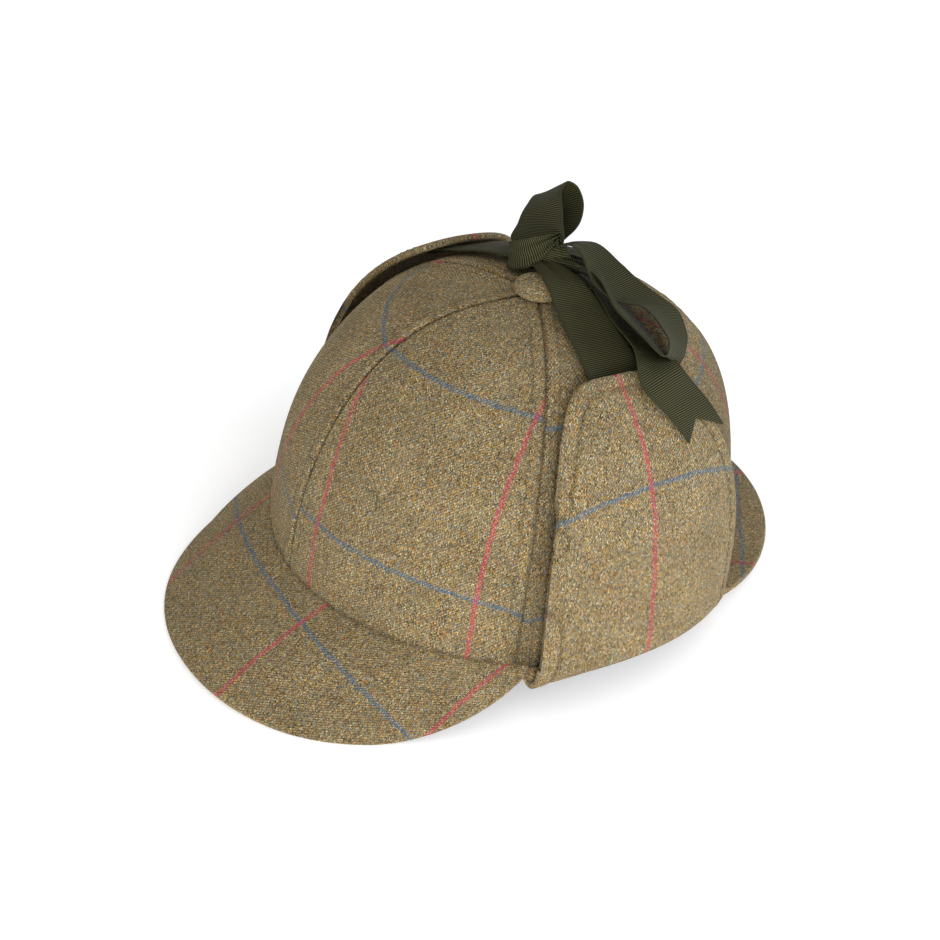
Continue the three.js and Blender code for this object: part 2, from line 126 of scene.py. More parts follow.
# Ear flaps: turns round the crown, and rises as shares of the way up it
FLAP_THICK = 3.0
FLAP_STANDOFF = 5.0
FLAP_FRONT = math.radians(-22.5)
FLAP_BACK = math.radians(35.5)
FLAP_TOP_TURN = math.radians(3.0)
FLAP_TOP_RISE = 0.68
FLAP_LOW_RISE = 0.09
FLAP_FOLD_FRONT = 1.0
FLAP_FOLD_BACK = 8.0
FLAP_FOLD_DEPTH = 5.0
FLAP_DROOP = 5.5
FLAP_FOLD_LIFT = 3.5
FLAP_CORNERS = (5.5, 2.5)
FLAP_GRID = (131, 91)
FLAP_BENDS = 16
FLAP_DENT = (0.6, 70.0)
FLAP_INSET = 6.0
# Painted shade along the flap's stitched groove: how dark, and how wide
FLAP_DARK = (0.75, 0.8)
FLAP_CORNER_TURN = math.radians(4.0)
FLAP_GROOVE = 0.4
FLAP_EDGE_LIFT = 0.25

# Where the cloth's coordinates start up the flap, and how low they go before they turn back in the fold
FLAP_CLOTH_START = 12.0
FLAP_CLOTH_LOW = -8.5

# The flap's front edge is moved round the crown by this much at these heights, fading out over the reach, and
# the fold's inner end the other way
FLAP_SWEEP_REACH = 30.0
FLAP_SWEEP_HEIGHTS = (1.0, 8.0, 24.0, 39.0, 60.0, 80.0, 100.0)
FLAP_SWEEP = (1.8, 3.3, 2.0, -0.3, -1.5, -0.7, 0.0)
FLAP_FOLD_SWEEP = -4.2

# Button, with the place of its middle on the cloth
BUTTON_RADIUS = 10.5
BUTTON_HEIGHT = 6.5
BUTTON_FOOT = 0.86
BUTTON_TIP = 0.02
BUTTON_GATHERS = (0.012, 14)
BUTTON_CLOTH = (31.0, 27.0)
BUTTON_GRID = (96, 40)

# Ribbon and bow
GAP = 0.3
CLEARANCE = 0.5
RIBBON_WIDTH = 25.0
RIBBON_THICK = 0.7
RIBBON_TUCK = 12.0
KNOT_SIZE = (21.0, 17.0, 12.0)
KNOT_PLACE = (-18.0, 14.0)
KNOT_HEADING = 20.0
KNOT_CORE = 0.8
UPPER_LENGTH = 32.0
SIDE_LENGTH = 74.0
TAIL_NOTCH = 9.0
RIBBON_LANES = 25
KNOT_GRID = (72, 56)

# Creases round the knot: depth, place and slant in radians round it, and width
KNOT_CREASES = [(0.10, 1.2, 0.9, 0.16), (0.08, 2.3, -0.7, 0.14)]

# The studio: light from all round, and what the floor gives off as a lit table
WORLD_LIGHT = 0.74
FLOOR_GLOW = 0.27
FLOOR_REACH = 30.0

# Lamps: name, place, what it points at, size, power, colour
LAMPS = [
    ("key", (1.65, -0.75, 0.42), (0, 0, 0.07), 0.9, 28, (0.97, 0.98, 1.0)),
    ("back", (1.0, 1.5, 0.6), (0, 0.1, 0.03), 0.8, 12, (0.84, 0.95, 1.15)),
]


def unit(vectors):
    length = np.linalg.norm(vectors, axis=-1, keepdims=True)
    return vectors / np.maximum(length, 1e-9)


def mix(low, high, share):
    return low + (high - low) * share


def smooth(share):
    share = np.clip(share, 0, 1)
    return share * share * (3 - 2 * share)


def hill(distance, width):
    """A smooth rise to 1 where the distance is 0, about one width to each side."""
    return np.exp(-(distance / width) ** 2)


def fullness(turn, at):
    """The power of the crown's rounded outline at a turn: at 0 for its height, at 1 for its reach."""
    front = np.maximum(-np.sin(turn), 0) ** 2
    back = np.maximum(np.sin(turn), 0) ** 2
    sides = FULLNESS["sides"][at]
    return sides + (FULLNESS["front"][at] - sides) * front + (FULLNESS["back"][at] - sides) * back


def crown_at(turn, rise):
    """Points of the crown's outside; turn 0 is the wearer's left, rise 0 the base and 1 the top."""
    turn, rise = np.broadcast_arrays(turn, rise)
    climb = np.sin(np.clip(rise, 0, 1) * math.pi / 2)
    up = climb ** (2 / fullness(turn, 0))
    radius = np.maximum(1 - climb * climb, 0) ** (1 / fullness(turn, 1))
    return np.stack([
        HALF_WIDTH * radius * np.cos(turn),
        HALF_LENGTH * radius * np.sin(turn) + CROWN_LEAN * up * up,
        CROWN_HEIGHT * up,
    ], -1)


def crown_normal(turn, rise):
    step, rise = 1e-3, np.minimum(rise, NEAR_TOP)
    around = crown_at(turn + step, rise) - crown_at(turn - step, rise)
    up = crown_at(turn, rise + step) - crown_at(turn, np.maximum(rise - step, 0))
    return unit(np.cross(around, up))


def off_crown(turn, rise, out):
    """A place that far out from the crown's surface."""
    return crown_at(turn, rise) + crown_normal(turn, rise) * out


def base_normal(turn):
    return unit(np.stack([np.cos(turn) / HALF_WIDTH, np.sin(turn) / HALF_LENGTH, 0 * turn], -1))


def rise_at_height(turn, height):
    return 2 / math.pi * np.arcsin((height / CROWN_HEIGHT) ** (fullness(turn, 0) / 2))


def lean_shift(point):
    return CROWN_LEAN * (point[2] / CROWN_HEIGHT) ** 2


def crown_above(side, back):
    """The crown's turn and rise above a place in plan, in shares of its half width and half length."""
    x, y = side * HALF_WIDTH, back * HALF_LENGTH
    low, high, turn = 0.0, 1.0, 0.0
    for _ in range(40):
        rise = (low + high) / 2
        for _ in range(3):
            shift = lean_shift(crown_at(turn, rise))
            turn = math.atan2((y - shift) / HALF_LENGTH, x / HALF_WIDTH)
        point = crown_at(turn, rise)
        shift = lean_shift(point)
        if math.hypot(x, y - shift) > math.hypot(point[0], point[1] - shift):
            high = rise
        else:
            low = rise
    return turn, (low + high) / 2


def over_crown(x, y):
    """The crown's surface above a place in plan."""
    return crown_at(*crown_above(x / HALF_WIDTH, y / HALF_LENGTH))


def to_model(points):
    """From the hat's own frame, in millimetres, to the model's frame, in metres."""
    c, s = math.cos(HAT_PITCH), math.sin(HAT_PITCH)
    x, y, z = points[..., 0], points[..., 1], points[..., 2]
    turned = np.stack([x, y * c - z * s, y * s + z * c], -1)
    return (turned + HAT_PLACE) / 1000


def spun(points, angle):
    """Points turned about the upright axis."""
    c, s = np.cos(angle), np.sin(angle)
    x, y = points[..., 0], points[..., 1]
    return np.stack([x * c - y * s, x * s + y * c, points[..., 2]], -1)


def ripple(x, y, size, seed):
    """Gentle unevenness between -1 and 1, with waves about size long."""
    draw = np.random.default_rng(seed)
    total = np.zeros_like(x, dtype=float)
    for _ in range(7):
        heading, phase = draw.uniform(0, 2 * math.pi, 2)
        wave = size * draw.uniform(0.7, 1.6)
        total += np.sin((x * math.cos(heading) + y * math.sin(heading)) * 2 * math.pi / wave + phase)
    return total / 3.5


def linked(name, data):
    body = bpy.data.objects.new(name, data)
    bpy.context.scene.collection.objects.link(body)
    return body


def add_mesh(name, points, faces, cloth, material, marks=None):
    """A smooth mesh from points in the hat's frame, with their cloth coordinates in millimetres."""
    mesh = bpy.data.meshes.new(name)
    mesh.from_pydata(to_model(points).tolist(), [], faces)
    corner = np.empty(len(mesh.loops), dtype=np.int32)
    mesh.loops.foreach_get("vertex_index", corner)
    mesh.uv_layers.new(name="cloth").data.foreach_set("uv", (cloth[corner] / 1000).astype(np.float32).ravel())
    for mark, values in (marks or {}).items():
        attribute = mesh.attributes.new(name=mark, type="FLOAT", domain="POINT")
        attribute.data.foreach_set("value", values.astype(np.float32).ravel())
    mesh.polygons.foreach_set("use_smooth", [True] * len(mesh.polygons))
    mesh.update()
    mesh.materials.append(material)
    return linked(name, mesh)


def around_grid(grid, deep):
    """The points round a grid, that many rows and columns in."""
    return np.concatenate([grid[deep, :-1], grid[:-1, -1 - deep], grid[-1 - deep, :0:-1], grid[:0:-1, deep]])


def along_loop(points):
    return unit(np.roll(points, -1, 0) - np.roll(points, 1, 0))


def facing(vectors, towards):
    """The vectors, each turned round if it points away from its partner."""
    return vectors * np.sign((vectors * towards).sum(-1, keepdims=True) + 1e-12)


def shell(name, outer, inner, cloth, material, marks=None, rim=3):
    """A closed cloth piece between two grids of points, with a rounded rim."""
    rows, columns = outer.shape[:2]
    count = rows * columns
    grid = np.arange(count).reshape(rows, columns)
    outer, inner, cloth = outer.reshape(-1, 3), inner.reshape(-1, 3), cloth.reshape(-1, 2)
    squares = np.stack([grid[:-1, :-1], grid[:-1, 1:], grid[1:, 1:], grid[1:, :-1]], -1).reshape(-1, 4)
    faces = squares.tolist() + (squares[:, ::-1] + count).tolist()
    loop = around_grid(grid, 0)
    within = around_grid(grid, min(RIM_DEPTH, rows // 3, columns // 3))
    edge, edge_cloth = outer[loop], cloth[loop]
    middle = (edge + inner[loop]) / 2
    half = edge - middle
    thickness = np.linalg.norm(half, axis=-1, keepdims=True)
    outward = facing(unit(np.cross(along_loop(edge), unit(half))), edge - outer[within])
    run = along_loop(edge_cloth)
    onward = facing(np.stack([run[:, 1], -run[:, 0]], -1), edge_cloth - edge_cloth.mean(0))
    points, uv, rings = [outer, inner], [cloth, cloth], [loop]
    for step in range(rim):
        angle = math.pi * (step + 1) / (rim + 1)
        points.append(middle + half * math.cos(angle) + outward * thickness * RIM_SWELL * math.sin(angle))
        uv.append(edge_cloth + onward * thickness * min(angle, math.pi - angle))
        rings.append(2 * count + step * len(loop) + np.arange(len(loop)))
    for low, high in zip(rings, rings[1:] + [loop + count]):
        faces += np.stack([low, high, np.roll(high, -1), np.roll(low, -1)], -1).tolist()
    spread = {}
    for key, value in (marks or {}).items():
        spread[key] = np.concatenate([value.ravel()] * 2 + [value.ravel()[loop]] * rim)
    piece = add_mesh(name + "_cloth", np.concatenate(points), faces, np.concatenate(uv), material, spread)
    tidy_normals(piece)
    return piece


def tidy_normals(piece):
    """Makes every face of a closed piece look outwards."""
    work = bmesh.new()
    work.from_mesh(piece.data)
    bmesh.ops.recalc_face_normals(work, faces=work.faces)
    work.to_mesh(piece.data)
    work.free()


def ring_faces(around, rings):
    """Faces that join rings of points, one above the other, into a closed piece."""
    faces = []
    for row in range(rings - 1):
        low, high = row * around, (row + 1) * around
        for at in range(around):
            after = (at + 1) % around
            faces.append([low + at, low + after, high + after, high + at])
    faces.append(list(range(around))[::-1])
    faces.append([(rings - 1) * around + at for at in range(around)])
    return faces


def arc_lengths(points, axis=0):
    steps = np.linalg.norm(np.diff(points, axis=axis), axis=-1)
    return np.concatenate([0 * np.take(steps, [0], axis=axis), np.cumsum(steps, axis=axis)], axis=axis)


def sampled(at, lengths, values):
    """The place or direction at a length along a line of them."""
    return np.array([np.interp(at, lengths, values[:, k]) for k in range(3)])


def laid(u, v, lay):
    """Shifts and bends a piece's cloth coordinates so that the overcheck falls where it does on the hat."""
    across, lean, bend, blue, slope, sag, fan = lay
    square = u * u / 1000
    across = u - across - lean * v + bend * square
    along = v - blue - slope * u - sag * square
    return np.stack([across + fan * np.maximum(across, 0) * (along - FAN_FROM) / 1000, along], -1)


# The height on the cloth from which the fanned crimson lines spread
FAN_FROM = 25.0

# How the cloth lies on each piece: where a crimson line crosses, how that leans and bends, how high a blue
# line crosses, how that slopes and how it sags to both sides, and how the crimson lines beyond it fan out
LAYS = {
    "crown_panel_front_left": (-41.5, -0.01, 0, 31.6, -0.12, -1.5, 0),
    "crown_panel_front_right": (20.6, 0.12, 0, 38.5, -0.105, -1.5, 0),
    "crown_panel_side_left": (24.0, 0, 0, 24.0, -0.05, -1.5, 0),
    "crown_panel_side_right": (-55.0, 0, 0, 30.0, 0.05, -1.5, 0),
    "crown_panel_back_left": (-6.0, 0, 0, 22.0, 0, -2.0, 0),
    "crown_panel_back_right": (10.0, 0, 0, 22.0, 0, -2.0, 0),
    "front_peak": (21.5, -0.02, 1.1, -110.3, -0.055, 1.9, 3.1),
    "back_peak": (98.7, 0.55, 0, 133.4, -0.67, 0, 0),
    "left_ear_flap": (2.9, -0.05, 0, 68.4, 0.06, -5.0, 0),
    "right_ear_flap": (0, -0.04, 0, 66.0, 0.02, -4.0, 0),
}


def colour(red, green, blue):
    """A colour written in the usual 0 to 255 values, as linear light."""
    linear = [(part / 255 + 0.055) / 1.055 for part in (red, green, blue)]
    return tuple(max(part, 0) ** 2.4 for part in linear) + (1.0,)


class Graph:
    """Small helper that adds and joins shader nodes."""

    def __init__(self, name):
        self.material = bpy.data.materials.new(name)
        self.material.use_nodes = True
        self.tree = self.material.node_tree
        self.shader = self.tree.nodes["Principled BSDF"]

    def add(self, kind, inputs=None, **settings):
        node = self.tree.nodes.new(kind)
        for key, value in settings.items():
            setattr(node, key, value)
        for key, value in (inputs or {}).items():
            self.put(value, node.inputs[key])
        return node

    def put(self, value, socket):
        if isinstance(value, bpy.types.NodeSocket):
            self.tree.links.new(value, socket)
        else:
            socket.default_value = value

    def math(self, operation, first, second=0.0, third=0.0, clamp=False):
        inputs = {0: first, 1: second, 2: third}
        return self.add("ShaderNodeMath", inputs, operation=operation, use_clamp=clamp).outputs[0]

    def scaled(self, value, by, plus=0.0, clamp=False):
        return self.math("MULTIPLY_ADD", value, by, plus, clamp)

    def blend(self, share, low, high, mode="MIX"):
        inputs = {"Factor": share, "A": low, "B": high}
        return self.add("ShaderNodeMix", inputs, data_type="RGBA", blend_type=mode).outputs["Result"]

    def ramp(self, value, stops, interpolation="LINEAR"):
        node = self.add("ShaderNodeValToRGB", {"Fac": value})
        node.color_ramp.interpolation = interpolation
        while len(node.color_ramp.elements) < len(stops):
            node.color_ramp.elements.new(0.5)
        for element, (position, shade) in zip(node.color_ramp.elements, stops):
            element.position = position
            element.color = shade
        return node.outputs["Color"]

    def noise(self, vector, scale, detail=2.0, roughness=0.5):
        inputs = {"Vector": vector, "Scale": scale, "Detail": detail, "Roughness": roughness}
        return self.add("ShaderNodeTexNoise", inputs, noise_dimensions="2D").outputs["Fac"]

    def joined(self, *parts):
        return self.add("ShaderNodeCombineXYZ", dict(enumerate(parts))).outputs[0]

    def bump(self, height, strength, distance):
        inputs = {"Height": height, "Strength": strength, "Distance": distance}
        return self.add("ShaderNodeBump", inputs).outputs["Normal"]

    def finish(self, base, settings):
        """The material, once its colour and the shader's other settings are in."""
        for key, value in {"Base Color": base, **settings}.items():
            self.put(value, self.shader.inputs[key])
        return self.material

    def cloth(self):
        """The cloth's own coordinates in millimetres."""
        uv = self.add("ShaderNodeUVMap", uv_map="cloth").outputs["UV"]
        return self.add("ShaderNodeVectorMath", {0: uv, 1: (1000, 1000, 0)}, operation="MULTIPLY").outputs[0]

    def turned(self, vector, angle, scale):
        inputs = {"Vector": vector, "Rotation": (0, 0, math.radians(angle)), "Scale": scale}
        return self.add("ShaderNodeMapping", inputs).outputs["Vector"]


# Yarn colours of the tweed, each with the share of the threads below which it is picked
TWEED_YARNS = [
    (0.00, colour(66, 56, 36)),
    (0.16, colour(104, 92, 58)),
    (0.35, colour(136, 122, 80)),
    (0.55, colour(180, 146, 74)),
    (0.68, colour(158, 100, 58)),
    (0.75, colour(100, 116, 124)),
    (0.83, colour(146, 148, 120)),
    (0.92, colour(204, 192, 150)),
]
STREAKS = (colour(158, 98, 52), colour(104, 118, 132))
CRIMSON = colour(196, 40, 88)
PETROL = colour(14, 98, 138)
CHECK_SPACING = 80.0
LINE_WIDTH = 2.5
FLOAT_PITCH = 1.8


def check_line(graph, place, along, slant, seed):
    """How strongly a line of the overcheck shows: a slightly wandering rope of slanted floats."""
    wander = graph.scaled(graph.noise(graph.joined(along, seed), 0.2, 1.0), 1.2, -0.6)
    shifted = graph.math("ADD", place, wander)
    folded = graph.math("PINGPONG", shifted, CHECK_SPACING / 2)
    slanted = graph.scaled(shifted, slant, along)
    floats = graph.math("PINGPONG", slanted, FLOAT_PITCH / 2)
    rough = graph.scaled(graph.noise(graph.joined(along, place), 1.1, 1.0), 2.6, -2.1)
    broken = graph.scaled(floats, 2.4, rough, clamp=True)
    broken = graph.scaled(broken, 0.8, 0.2)
    edge = graph.math("SUBTRACT", LINE_WIDTH / 2, folded)
    return graph.scaled(graph.scaled(edge, 2.5, clamp=True), broken)


def yarn_floats(graph, cloth, angle, size, channel):
    """Threads that lie at one angle: their colours, and a height for each."""
    lying = graph.turned(cloth, angle, (1 / size[0], 1 / size[1], 1))
    cells = graph.add("ShaderNodeTexVoronoi", {"Vector": lying, "Scale": 1.0}, voronoi_dimensions="2D")
    pick = graph.add("ShaderNodeSeparateColor", {0: cells.outputs["Color"]})
    return graph.ramp(pick.outputs[channel], TWEED_YARNS, "CONSTANT"), cells.outputs["Distance"]


def tweed_colour(graph, cloth):
    """The tweed's threads, streaks, haze and overcheck, and the height of its threads."""
    yarns, lift = yarn_floats(graph, cloth, 50, (0.3, 0.7), 0)
    crossing, crossing_lift = yarn_floats(graph, cloth, -40, (0.28, 0.5), 1)
    over = graph.math("GREATER_THAN", graph.noise(cloth, 0.9, 1.0), 0.52)
    body = graph.blend(over, yarns, crossing)
    for angle, streak in zip((50, -38), STREAKS):
        tinted = graph.noise(graph.turned(cloth, angle, (1.5, 0.16, 1)), 1.0, 1.0)
        share = graph.scaled(tinted, 5.0, -3.15, clamp=True)
        body = graph.blend(graph.scaled(share, 0.38), body, streak)
    haze = graph.scaled(graph.noise(cloth, 0.07, 2.0), 1.6, -0.55, clamp=True)
    body = graph.blend(graph.scaled(haze, 0.28), body, colour(122, 122, 96))
    parts = graph.add("ShaderNodeSeparateXYZ", {0: cloth})
    across, along = parts.outputs[0], parts.outputs[1]
    blue = check_line(graph, along, across, -0.8, 8.0)
    pink = check_line(graph, across, along, 0.8, 3.0)
    body = graph.blend(graph.scaled(blue, 0.72), body, PETROL)
    body = graph.blend(graph.scaled(pink, 0.78), body, CRIMSON)
    return body, graph.math("ADD", lift, crossing_lift)


def tweed_material():
    graph = Graph("tweed")
    cloth = graph.cloth()
    body, lift = tweed_colour(graph, cloth)
    ribs = graph.add("ShaderNodeTexWave", {
        "Vector": graph.turned(cloth, 50, (1, 1, 1)), "Scale": 0.3,
        "Distortion": 0.9, "Detail": 1.5, "Detail Scale": 3.0,
    }).outputs["Fac"]
    fuzz = graph.noise(cloth, 2.1, 2.0, 0.8)
    cloudy = graph.noise(cloth, 0.045, 2.0)
    shade = graph.scaled(ribs, 0.35, graph.scaled(fuzz, 0.7, 0.225))
    shade = graph.math("ADD", shade, graph.scaled(cloudy, 0.35, -0.12))
    # Painted shade from the mesh: darker in seams, stitching, along the base and beside the flaps
    painted_shade_level = graph.add("ShaderNodeAttribute", attribute_name="painted_shade").outputs["Fac"]
    shade = graph.scaled(shade, graph.scaled(painted_shade_level, -0.55, 1.0))
    tone = graph.joined(graph.scaled(shade, 1.02), graph.scaled(shade, 0.98), shade)
    height = graph.scaled(lift, -0.4, graph.scaled(ribs, 0.4, fuzz))
    return graph.finish(graph.blend(1.0, body, tone, "MULTIPLY"), {
        "Normal": graph.bump(height, 0.6, 0.0003), "Roughness": 0.95, "Specular IOR Level": 0.12,
        "Sheen Weight": 0.12, "Sheen Roughness": 0.6, "Sheen Tint": colour(190, 176, 140),
    })


# The grosgrain's ribs and plain edges, and its tones from painted shade between the ribs to a painted
# highlight on their tops
RIB_PITCH = 0.95
SELVEDGE = 1.1
RIB_TONES = [(0.1, colour(15, 15, 7)), (0.55, colour(45, 45, 27)), (0.9, colour(86, 84, 58))]
THREAD_TONES = [(0.3, colour(84, 72, 48)), (0.7, colour(118, 102, 70))]


def ribbon_material():
    graph = Graph("grosgrain")
    cloth = graph.cloth()
    parts = graph.add("ShaderNodeSeparateXYZ", {0: cloth})
    across, along = parts.outputs[0], parts.outputs[1]
    to_edge = graph.math("SUBTRACT", RIBBON_WIDTH / 2 - SELVEDGE, graph.math("ABSOLUTE", across))
    inside = graph.scaled(to_edge, 4.0, clamp=True)
    ribs = graph.math("SINE", graph.scaled(along, 2 * math.pi / RIB_PITCH))
    ribs = graph.scaled(ribs, inside)
    threads = graph.noise(graph.turned(cloth, 0, (0.5, 6.0, 1)), 1.0, 2.0)
    # Painted shade between the ribs and a painted highlight on their tops
    base = graph.ramp(graph.scaled(ribs, 0.42, 0.5), RIB_TONES)
    base = graph.blend(graph.scaled(threads, 0.18), base, colour(58, 57, 36))
    base = graph.blend(graph.scaled(inside, -0.35, 0.35), base, colour(62, 61, 44))
    height = graph.math("ADD", ribs, graph.scaled(threads, 0.3))
    normal = graph.bump(height, 0.5, 0.00018)
    return graph.finish(base, {"Normal": normal, "Roughness": 0.62, "Specular IOR Level": 0.05})


def thread_material():
    graph = Graph("thread")
    base = graph.ramp(graph.noise(graph.cloth(), 3.0, 1.0), THREAD_TONES)
    return graph.finish(base, {"Roughness": 0.8})


TWEED = tweed_material()
GROSGRAIN = ribbon_material()
THREAD = thread_material()


def stitch(at, lengths, places, normals):
    """The points of one short thread, at a length along a line on the cloth."""
    ends = [sampled(at + way * STITCH_LENGTH / 2, lengths, places) for way in (-1, 0, 1)]
    normal = unit(sampled(at, lengths, normals))
    side = np.cross(unit(ends[2] - ends[0]), normal)
    points = []
    for place, (lift, size) in zip(ends, THREAD_RINGS):
        for k in range(THREAD_SIDES):
            angle = k * 2 * math.pi / THREAD_SIDES
            out = normal * (lift + STITCH_RADIUS * size * math.cos(angle))
            points.append(place + out + side * STITCH_RADIUS * size * math.sin(angle))
    return points


def stitches(name, rows):
    """Topstitching along lines on the cloth, each with its places and its normals."""
    points, faces = [], []
    thread = ring_faces(THREAD_SIDES, len(THREAD_RINGS))
    for places, normals in rows:
        lengths = arc_lengths(places)
        for at in np.arange(STITCH_PITCH, lengths[-1] - STITCH_PITCH, STITCH_PITCH):
            faces += [[len(points) + corner for corner in face] for face in thread]
            points += stitch(at, lengths, places, normals)
    points = np.array(points)
    piece = add_mesh(name, points, faces, points[:, :2] + points[:, 2:], THREAD)
    tidy_normals(piece)
    settle(piece)


def inset_row(inset, runs):
    """A row of stitches, an inset away from an edge, on runs of points that lead in from it."""
    places = [sampled(inset, distance, points) for distance, points, _ in runs]
    return np.array(places), np.array([sampled(inset, distance, normals) for distance, _, normals in runs])


def grid_normals(points):
    normals = unit(np.cross(np.gradient(points, axis=1), np.gradient(points, axis=0)))
    outward = points - points.reshape(-1, 3).mean(0)
    outward[..., 2] += 30
    return normals * np.sign((normals * outward).sum(-1).mean())


def clustered(count, strength=0.55):
    """Shares from 0 to 1 that lie closer together near both ends."""
    share = np.linspace(0, 1, count)
    return mix(share, 0.5 - 0.5 * np.cos(share * math.pi), strength)


def panel_relief(u, v, edge, fade, seed):
    """How far a crown panel's cloth stands out; edge is the distance to the nearer seam."""
    relief = -SEAM_DEPTH * hill(edge, SEAM_REACH)
    relief += ALLOWANCE_LIFT * smooth((ALLOWANCE + 0.9 - edge) / 1.4) * smooth(edge / 2)
    relief -= GROOVE_DEPTH * hill(edge - ALLOWANCE, GROOVE_WIDTH) * fade
    depth, length = SEAM_PUCKER
    relief += depth * np.sin(v * 2 * math.pi / length + 2 * np.sin(v / 17)) * hill(edge - 3, 3) * fade
    depth, length = PANEL_DENT
    relief += depth * ripple(u, v, length, seed) * smooth(edge / 18) * fade
    depth, length = BASE_PUCKER
    pucker = np.sin(u * 2 * math.pi / length + 1.5 * np.sin(u / 11 + seed))
    relief += depth * pucker * hill(v - 5, 5) * smooth(v / 2)
    return relief - BASE_GROOVE * hill(v, BASE_WIDTH)


def panel_painted_shade(turn, v, edge, fade):
    """Painted shade on a crown panel: how dark it is in its seams and stitching, along its base and beside a
    flap.
    """
    painted_shade = hill(edge, SEAM_DARK) + STITCH_DARK[0] * hill(edge - ALLOWANCE, STITCH_DARK[1]) * fade
    painted_shade = np.minimum(painted_shade + BASE_DARK[0] * hill(v, BASE_DARK[1]), 1)
    by_flap = np.degrees(np.abs(np.arctan2(np.cos(turn), -np.sin(turn)))) - SHADED_FROM
    for dark, start, grow, top, end in SHADED:
        painted_shade = np.maximum(painted_shade, dark * smooth((by_flap - start) / grow) * smooth((top - v) / end))
    return painted_shade


def crown_panel(name, start, end, seed):
    """Builds a panel between two turns in degrees, and returns its two rows of stitches."""
    columns, rows = PANEL_GRID
    top = 1 - 2 / math.pi * math.asin((TIP_RADIUS / HALF_LENGTH) ** 1.3)
    turn = mix(math.radians(start), math.radians(end), clustered(columns)[None])
    rise = (np.linspace(0, 1, rows) * top)[:, None]
    turn, rise = np.broadcast_arrays(turn, rise)
    surface = crown_at(turn, rise)
    normal = crown_normal(turn, rise)
    across = arc_lengths(surface, 1)
    middle = columns // 2
    u = across - across[:, [middle]]
    v = np.broadcast_to(arc_lengths(surface)[:, [middle]], u.shape)
    edge = np.minimum(across, across[:, [-1]] - across)
    fade = smooth(v / 12) * smooth((v[-1:] - v) / 10)
    outer = surface + normal * panel_relief(u, v, edge, fade, seed)[..., None]
    # Painted shade in the seams, stitching, base and the gap beside a flap, carried on the mesh
    painted_shade = panel_painted_shade(turn, v, edge, fade)
    cloth = laid(u, v, LAYS[name])
    piece = shell(
        name, hemmed(outer), hemmed(surface - normal * CROWN_WALL),
        np.concatenate([cloth[:1] - [0, CROWN_HEM], cloth]), TWEED,
        {"painted_shade": np.concatenate([painted_shade[:1], painted_shade])},
    )
    settle(piece, name)
    cut(surface, "stretched")
    return [panel_stitches(distance, outer, normal) for distance in (across, across[:, [-1]] - across)]


def hemmed(grid):
    """A crown panel's grid with one more row, where its hem ends."""
    hem = grid[:1].copy()
    hem[..., 2] = -CROWN_HEM
    return np.concatenate([hem, grid])


def panel_stitches(distance, outer, normal):
    """Topstitching beside one seam, up to where the panel gets too narrow for it."""
    runs = []
    for row in range(4, len(outer) - 12):
        if distance[row].max() < ALLOWANCE * 2.4:
            break
        order = np.argsort(distance[row])
        runs.append((distance[row, order], outer[row, order], normal[row, order]))
    return inset_row(ALLOWANCE, runs)


def cut(grid, held):
    """Works out the width, length and area of a cloth piece, and keeps none of them."""
    across, up = arc_lengths(grid, 1), arc_lengths(grid, 0)
    one, two = np.diff(grid, axis=0)[:, :-1], np.diff(grid, axis=1)[:-1]
    area = np.linalg.norm(np.cross(one, two), axis=-1).sum() / 1e6
    width, length = across[:, -1].max() / 1000, up[-1].max() / 1000
    area = min(area, width * length)


def settle(piece, node=None):
    """The piece rides on the hat, and stands for a CAD node unless it is an addition."""
    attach(piece, "root")
    if node:
        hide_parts(node)


def crown():
    front = -90 + SEAM_OFFSET
    side_span = (180 - FRONT_SPAN) / 2
    seams = [0, FRONT_SPAN, FRONT_SPAN + side_span, 180]
    rows = []
    for at, part in enumerate(("front", "side", "back")):
        rows += crown_panel(f"crown_panel_{part}_left", front + seams[at], front + seams[at + 1], 11 + at)
        rows += crown_panel(f"crown_panel_{part}_right", front - seams[at + 1], front - seams[at], 21 + at)
    stitches("crown_topstitching", rows)


def peak(name, seed, middle, half_span, length, taper, slope, side_slope):
    columns, rows = PEAK_GRID
    share = np.sin(np.linspace(-0.5, 0.5, columns) * math.pi)
    turn = np.radians(middle + half_span * share)
    reach = PEAK_END_LENGTH + (length - PEAK_END_LENGTH) * (1 - np.abs(share) ** taper)
    steep = mix(slope, side_slope, np.minimum(np.abs(share) * 1.6, 1) ** 2)
    out = base_normal(turn)
    place = crown_at(turn, 0) - out * PEAK_TUCK
    flat = place[:, :2]
    step = reach / (rows - 1)
    top, spread, under = [place], [flat], [place - [0, 0, PEAK_THICK]]
    for row in range(1, rows):
        angle = np.radians(steep + PEAK_BEND * ((row - 0.5) / (rows - 1) - 0.5))
        place = place + out * (step * np.cos(angle))[:, None]
        place[:, 2] -= step * np.sin(angle)
        flat = flat + out[:, :2] * step[:, None]
        lean = PEAK_THICK * np.sin(angle) * row / (rows - 1)
        below = place - out * lean[:, None]
        below[:, 2] = place[:, 2] - np.sqrt(PEAK_THICK ** 2 - lean ** 2)
        top.append(place)
        spread.append(flat)
        under.append(below)
    top, under, spread = np.array(top), np.array(under), np.array(spread)
    u, v = spread[..., 0], spread[..., 1]
    far = np.linspace(0, 1, rows)[:, None] * reach[None]
    top[..., 2] += peak_relief(u, v, far, reach, seed)
    piece = shell(name, top, under, laid(u, v, LAYS[name]), TWEED, rim=5)
    on_ground(piece)
    settle(piece, name)
    cut(top, "stretched")


